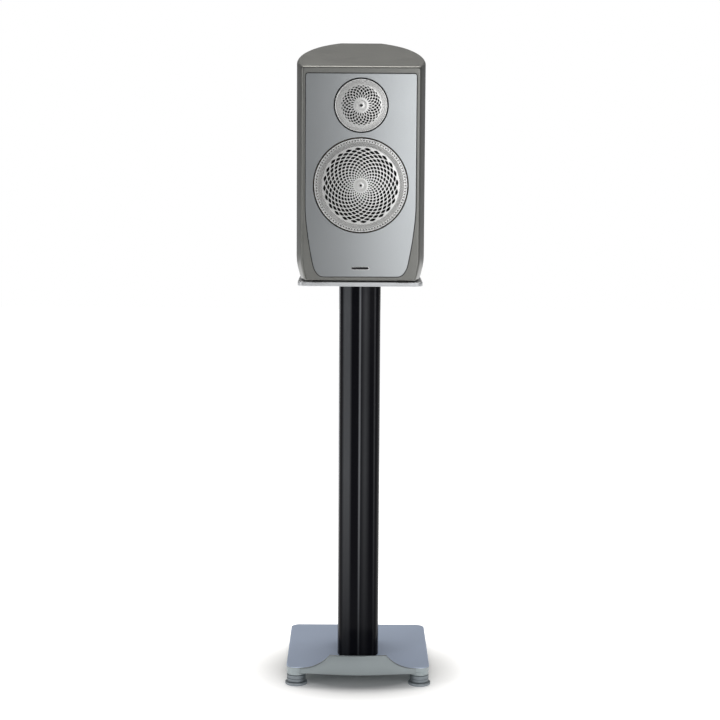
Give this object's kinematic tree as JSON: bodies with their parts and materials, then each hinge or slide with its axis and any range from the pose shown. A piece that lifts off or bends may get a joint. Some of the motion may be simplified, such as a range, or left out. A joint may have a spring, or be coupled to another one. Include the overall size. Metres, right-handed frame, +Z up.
{
  "type": "bookshelf speaker",
  "caption": "Compact two-way loudspeaker with a boat-tailed cabinet and perforated round driver covers, on a column floor stand with screw feet.",
  "frame": {"origin": "on the floor, under the middle of the bounding box", "axes": "+Z up, -Y out of the speaker's front, +X to the right of somebody facing the front"},
  "size_m": [0.2646, 0.336, 1.165],
  "materials": {
    "metallic_lacquer": "metallic grey lacquer over board",
    "silver_panel": "fine satin silver",
    "cover_silver": "satin silver, perforated",
    "board": "raw",
    "foam": "open cell foam",
    "black_plastic": "fine grain",
    "rubber": "matt",
    "cone_paper": "matt",
    "cast_metal": "painted black",
    "magnet": "sintered",
    "steel": "zinc plated",
    "copper": "enamelled wire",
    "gold_plate": "gold plated",
    "red_plastic": "clear tinted",
    "circuit_board": "solder mask",
    "stand_silver": "satin silver paint",
    "gloss_black": "gloss black lacquer",
    "base_paint": "semi-gloss metallic grey-blue",
    "foot_metal": "satin"
  },
  "bodies": {
    "body": {"badge": "cover_silver", "baffle_panel": "silver_panel", "base_fascia": "base_paint", "cabinet_pad_front_left": "rubber", "cabinet_pad_front_right": "rubber", "cabinet_pad_rear_left": "rubber", "cabinet_pad_rear_right": "rubber", "cabinet_shell": "metallic_lacquer", "crossover_board": "circuit_board", "crossover_capacitor": "black_plastic", "crossover_coil": "copper", "crossover_resistor": "cast_metal", "damping_foam": "foam", "front_baffle": "board", "internal_brace": "board", "port_tube": "black_plastic", "post_stud_negative": "gold_plate", "post_stud_positive": "gold_plate", "stand_base_plate": "base_paint", "stand_column": "gloss_black", "stand_top_plate": "stand_silver", "terminal_plate": "black_plastic", "tie_nut_front": "steel", "tie_nut_rear": "steel", "tie_rod_front": "steel", "tie_rod_rear": "steel", "tweeter_cover": "cover_silver", "tweeter_faceplate": "cast_metal", "tweeter_lead": "rubber", "tweeter_magnet": "magnet", "tweeter_rear_chamber": "black_plastic", "tweeter_surround": "rubber", "tweeter_trim_ring": "cover_silver", "woofer_basket": "cast_metal", "woofer_cover": "cover_silver", "woofer_front_pole_plate": "steel", "woofer_lead": "rubber", "woofer_magnet": "magnet", "woofer_pole_piece": "steel", "woofer_spider": "foam", "woofer_surround": "rubber", "woofer_trim_ring": "cover_silver"},
    "woofer_diaphragm": {"woofer_cone": "cone_paper", "woofer_dust_cap": "cone_paper", "woofer_voice_coil": "copper"},
    "tweeter_diaphragm": {"tweeter_dome": "black_plastic", "tweeter_voice_coil": "copper"},
    "washer_negative": {"post_washer_negative": "gold_plate"},
    "nut_negative": {"post_nut_negative": "black_plastic"},
    "washer_positive": {"post_washer_positive": "gold_plate"},
    "nut_positive": {"post_nut_positive": "red_plastic"},
    "pad_front_left": {"foot_pad_front_left": "rubber"},
    "adjuster_front_left": {"foot_adjuster_front_left": "foot_metal"},
    "pad_front_right": {"foot_pad_front_right": "rubber"},
    "adjuster_front_right": {"foot_adjuster_front_right": "foot_metal"},
    "pad_rear_left": {"foot_pad_rear_left": "rubber"},
    "adjuster_rear_left": {"foot_adjuster_rear_left": "foot_metal"},
    "pad_rear_right": {"foot_pad_rear_right": "rubber"},
    "adjuster_rear_right": {"foot_adjuster_rear_right": "foot_metal"}
  },
  "joints": [
    {"name": "woofer_travel", "type": "slide", "parent": "body", "child": "woofer_diaphragm", "axis": [0, -1, 0], "range_m": [-0.006, 0.006], "stiffness_N_per_m": 1500, "deforming": ["woofer_surround", "woofer_spider"]},
    {"name": "tweeter_travel", "type": "slide", "parent": "body", "child": "tweeter_diaphragm", "axis": [0, -1, 0], "range_m": [-0.0004, 0.0004], "stiffness_N_per_m": 1000, "deforming": ["tweeter_surround"]},
    {"name": "washer_slide_negative", "type": "slide", "parent": "body", "child": "washer_negative", "axis": [0, 1, 0], "range_m": [0, 0.004]},
    {"name": "nut_turn_negative", "type": "hinge", "parent": "washer_negative", "child": "nut_negative", "pos_m": [-0.0095, 0.14265, 0.815], "axis": [0, 1, 0], "range_deg": [0, 1801]},
    {"name": "washer_slide_positive", "type": "slide", "parent": "body", "child": "washer_positive", "axis": [0, 1, 0], "range_m": [0, 0.004]},
    {"name": "nut_turn_positive", "type": "hinge", "parent": "washer_positive", "child": "nut_positive", "pos_m": [0.0095, 0.14265, 0.815], "axis": [0, 1, 0], "range_deg": [0, 1801]},
    {"name": "pad_drop_front_left", "type": "slide", "parent": "body", "child": "pad_front_left", "axis": [0, 0, -1], "range_m": [0, 0.0075]},
    {"name": "adjuster_turn_front_left", "type": "hinge", "parent": "pad_front_left", "child": "adjuster_front_left", "pos_m": [-0.112, -0.09935, 0.012], "axis": [0, 0, -1], "range_deg": [0, 1801]},
    {"name": "pad_drop_front_right", "type": "slide", "parent": "body", "child": "pad_front_right", "axis": [0, 0, -1], "range_m": [0, 0.0075]},
    {"name": "adjuster_turn_front_right", "type": "hinge", "parent": "pad_front_right", "child": "adjuster_front_right", "pos_m": [0.112, -0.09935, 0.012], "axis": [0, 0, -1], "range_deg": [0, 1801]},
    {"name": "pad_drop_rear_left", "type": "slide", "parent": "body", "child": "pad_rear_left", "axis": [0, 0, -1], "range_m": [0, 0.0075]},
    {"name": "adjuster_turn_rear_left", "type": "hinge", "parent": "pad_rear_left", "child": "adjuster_rear_left", "pos_m": [-0.112, 0.14865, 0.012], "axis": [0, 0, -1], "range_deg": [0, 1801]},
    {"name": "pad_drop_rear_right", "type": "slide", "parent": "body", "child": "pad_rear_right", "axis": [0, 0, -1], "range_m": [0, 0.0075]},
    {"name": "adjuster_turn_rear_right", "type": "hinge", "parent": "pad_rear_right", "child": "adjuster_rear_right", "pos_m": [0.112, 0.14865, 0.012], "axis": [0, 0, -1], "range_deg": [0, 1801]}
  ],
  "couplings": [
    {"joint": "nut_turn_negative", "follows": "washer_slide_negative", "rad_per_m": 7854},
    {"joint": "nut_turn_positive", "follows": "washer_slide_positive", "rad_per_m": 7854},
    {"joint": "adjuster_turn_front_left", "follows": "pad_drop_front_left", "rad_per_m": 4188.8},
    {"joint": "adjuster_turn_front_right", "follows": "pad_drop_front_right", "rad_per_m": 4188.8},
    {"joint": "adjuster_turn_rear_left", "follows": "pad_drop_rear_left", "rad_per_m": 4188.8},
    {"joint": "adjuster_turn_rear_right", "follows": "pad_drop_rear_right", "rad_per_m": 4188.8}
  ]
}
